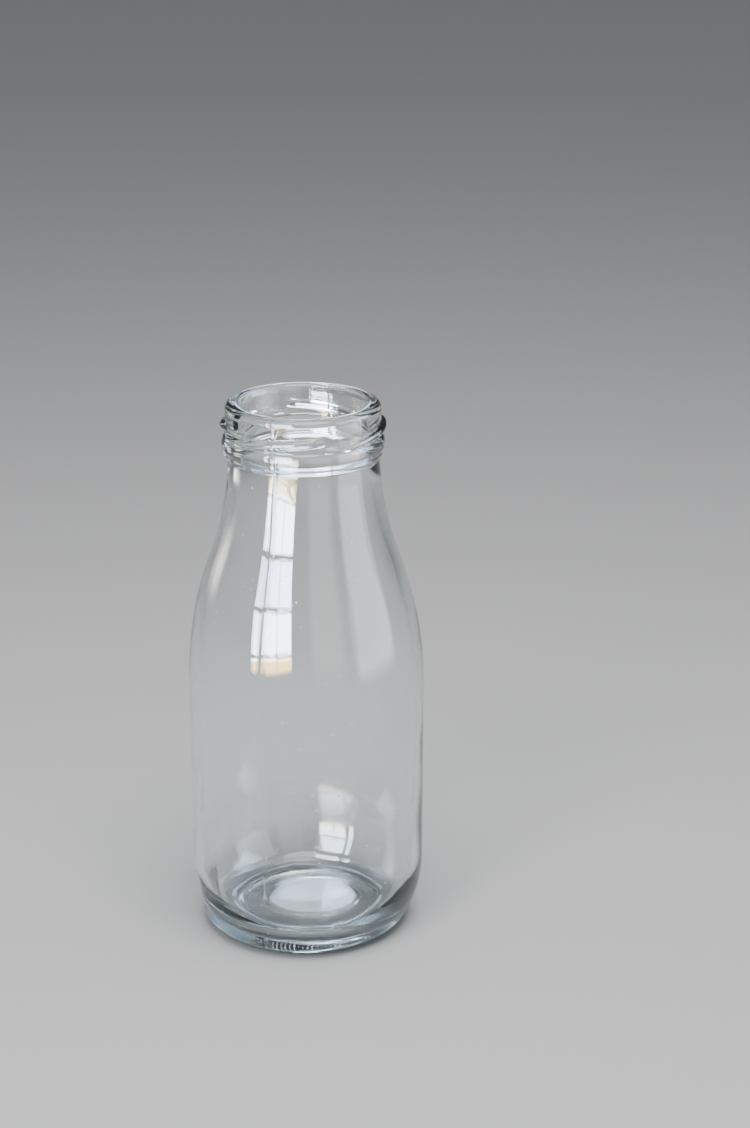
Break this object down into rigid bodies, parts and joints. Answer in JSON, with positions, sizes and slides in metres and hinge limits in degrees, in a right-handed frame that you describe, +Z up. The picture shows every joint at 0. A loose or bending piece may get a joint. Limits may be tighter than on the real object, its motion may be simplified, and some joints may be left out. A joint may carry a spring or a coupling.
{
  "type": "milk bottle vase",
  "caption": "Clear glass milk bottle with a wide open mouth, short screw lugs, a sloping shoulder and a rounded heel, used as a vase.",
  "frame": {"origin": "on the bottle's axis, in the plane that it stands on", "axes": "+Z up along the bottle's axis, towards the mouth; the lugs start 80 degrees before +X and every quarter turn from there"},
  "size_m": [0.063, 0.063, 0.147],
  "materials": {
    "clear_glass": "polished, clear, faintly green at thick edges"
  },
  "bodies": {
    "root": {"glass_bottle": "clear_glass"}
  },
  "joints": []
}
